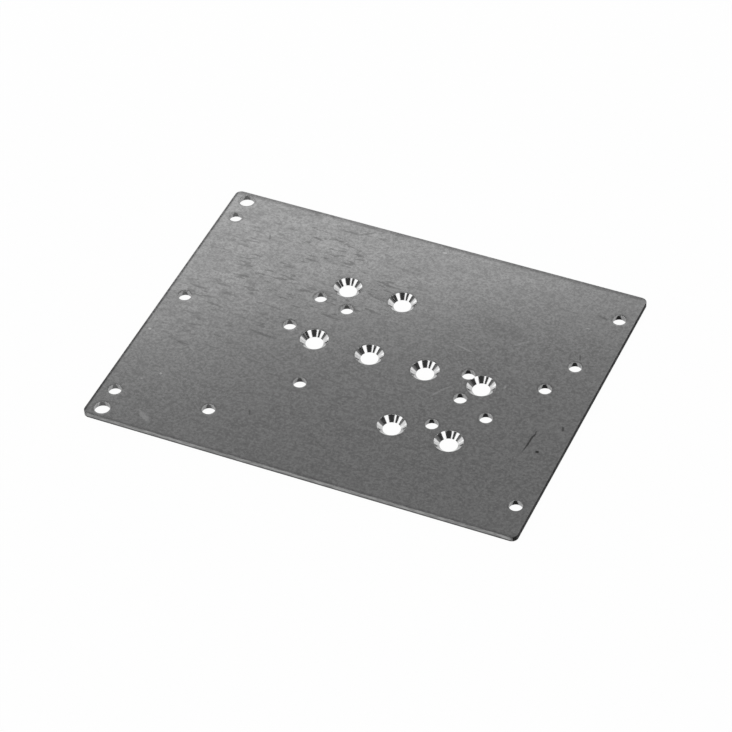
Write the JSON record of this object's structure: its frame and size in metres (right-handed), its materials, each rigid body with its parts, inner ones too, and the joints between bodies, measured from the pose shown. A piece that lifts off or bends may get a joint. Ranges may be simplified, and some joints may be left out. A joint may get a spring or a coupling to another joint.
{
  "type": "flat connector plate",
  "caption": "Flat rectangular sheet-steel connector plate with rounded corners, countersunk screw holes in a stepped pattern and plain fixing holes.",
  "frame": {"origin": "middle of the underside", "axes": "+X along the length, towards the end without corner holes; +Z out of the face with the countersinks"},
  "size_m": [0.17, 0.134, 0.002],
  "materials": {
    "sheet_steel": "mill finish"
  },
  "bodies": {
    "root": {"plate": "sheet_steel"}
  },
  "joints": []
}
